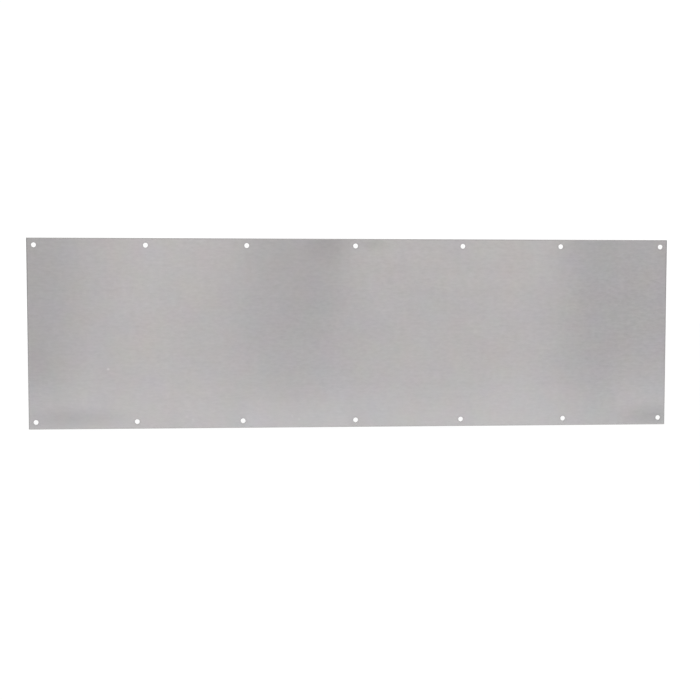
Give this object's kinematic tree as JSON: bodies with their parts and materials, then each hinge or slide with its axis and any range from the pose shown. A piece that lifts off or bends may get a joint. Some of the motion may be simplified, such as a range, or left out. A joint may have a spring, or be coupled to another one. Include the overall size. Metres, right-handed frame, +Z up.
{
  "type": "kick plate",
  "caption": "Flat satin stainless door kick plate with bevelled front edges and a row of screw holes along its top and bottom.",
  "frame": {"origin": "centre of the flat back, which lies on the door", "axes": "+X along the width, to the right as seen from the front; +Z up; +Y out of the back, into the door. The front faces -Y."},
  "size_m": [0.8636, 0.0013, 0.254],
  "materials": {
    "satin_stainless": "satin, with a fine straight grain along the width"
  },
  "bodies": {
    "root": {"plate": "satin_stainless"}
  },
  "joints": []
}
